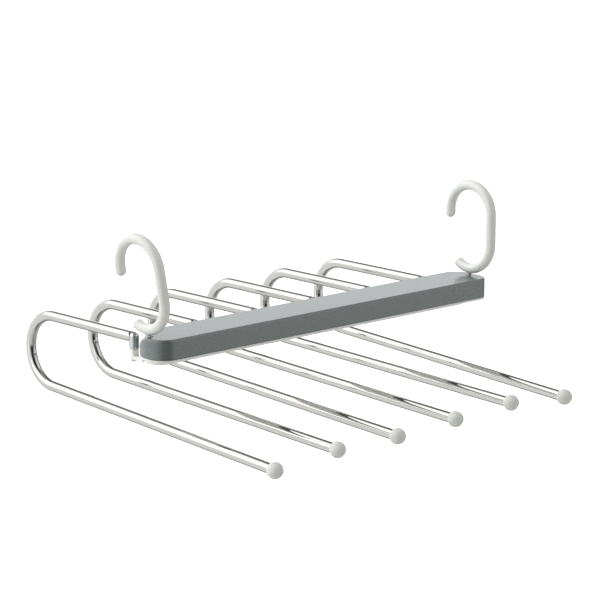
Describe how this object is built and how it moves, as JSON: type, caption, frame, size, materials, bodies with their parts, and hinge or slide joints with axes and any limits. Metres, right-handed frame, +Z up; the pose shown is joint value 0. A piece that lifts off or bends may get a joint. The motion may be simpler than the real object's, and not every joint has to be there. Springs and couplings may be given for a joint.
{
  "type": "multi tier trouser hanger",
  "caption": "Wardrobe rack that hangs by swivel hooks and carries trousers side by side on U-bent steel arms, which fold along its plastic bar.",
  "frame": {"origin": "midway between the two hooks, where a wardrobe rod bears on the top inside of their arcs", "axes": "+X along the arms from their bends to their ball ends, +Y along the bar, +Z up"},
  "size_m": [0.3093, 0.3786, 0.171],
  "materials": {
    "cover": "matte grey",
    "tray": "satin white",
    "hook": "satin white",
    "tube": "polished stainless steel",
    "ball": "matte light grey",
    "hinge_metal": "polished",
    "fastener": "plain"
  },
  "bodies": {
    "bar": {"top_cover": "cover", "lower_tray": "tray", "screw_1": "fastener", "screw_2": "fastener", "screw_3": "fastener", "screw_4": "fastener"},
    "arm_1": {"tube_1": "tube", "ball_cap_1": "ball", "hinge_head_1": "hinge_metal", "hinge_pin_1": "fastener"},
    "arm_2": {"tube_2": "tube", "ball_cap_2": "ball", "hinge_head_2": "hinge_metal", "hinge_pin_2": "fastener"},
    "arm_3": {"tube_3": "tube", "ball_cap_3": "ball", "hinge_head_3": "hinge_metal", "hinge_pin_3": "fastener"},
    "arm_4": {"tube_4": "tube", "ball_cap_4": "ball", "hinge_head_4": "hinge_metal", "hinge_pin_4": "fastener"},
    "arm_5": {"tube_5": "tube", "ball_cap_5": "ball", "hinge_head_5": "hinge_metal", "hinge_pin_5": "fastener"},
    "arm_6": {"tube_6": "tube", "ball_cap_6": "ball", "hinge_head_6": "hinge_metal", "hinge_pin_6": "fastener"},
    "hook_1_body": {"hook_1": "hook", "hook_clip_1": "fastener"},
    "hook_2_body": {"hook_2": "hook", "hook_clip_2": "fastener"}
  },
  "joints": [
    {"name": "arm_1_fold", "type": "hinge", "parent": "bar", "child": "arm_1", "pos_m": [-0.03025, -0.1715, -0.0808], "axis": [0, 0, 1], "range_deg": [0, 75]},
    {"name": "arm_2_fold", "type": "hinge", "parent": "bar", "child": "arm_2", "pos_m": [-0.03025, -0.1065, -0.0808], "axis": [0, 0, 1], "range_deg": [0, 75]},
    {"name": "arm_3_fold", "type": "hinge", "parent": "bar", "child": "arm_3", "pos_m": [-0.03025, -0.0415, -0.0808], "axis": [0, 0, 1], "range_deg": [0, 75]},
    {"name": "arm_4_fold", "type": "hinge", "parent": "bar", "child": "arm_4", "pos_m": [-0.03025, 0.0235, -0.0808], "axis": [0, 0, 1], "range_deg": [0, 75]},
    {"name": "arm_5_fold", "type": "hinge", "parent": "bar", "child": "arm_5", "pos_m": [-0.03025, 0.0885, -0.0808], "axis": [0, 0, 1], "range_deg": [0, 75]},
    {"name": "arm_6_fold", "type": "hinge", "parent": "bar", "child": "arm_6", "pos_m": [-0.03025, 0.1535, -0.0808], "axis": [0, 0, 1], "range_deg": [0, 75]},
    {"name": "hook_1_swivel", "type": "hinge", "parent": "bar", "child": "hook_1_body", "pos_m": [-0.0015, -0.1795, -0.07815], "axis": [-0.0895, -0.1066, 0.9903], "continuous": true},
    {"name": "hook_2_swivel", "type": "hinge", "parent": "bar", "child": "hook_2_body", "pos_m": [-0.0015, 0.1795, -0.07815], "axis": [0, 0, 1], "continuous": true}
  ],
  "couplings": [
    {"joint": "arm_2_fold", "follows": "arm_1_fold", "ratio": 1},
    {"joint": "arm_3_fold", "follows": "arm_1_fold", "ratio": 1},
    {"joint": "arm_4_fold", "follows": "arm_1_fold", "ratio": 1},
    {"joint": "arm_5_fold", "follows": "arm_1_fold", "ratio": 1},
    {"joint": "arm_6_fold", "follows": "arm_1_fold", "ratio": 1}
  ]
}
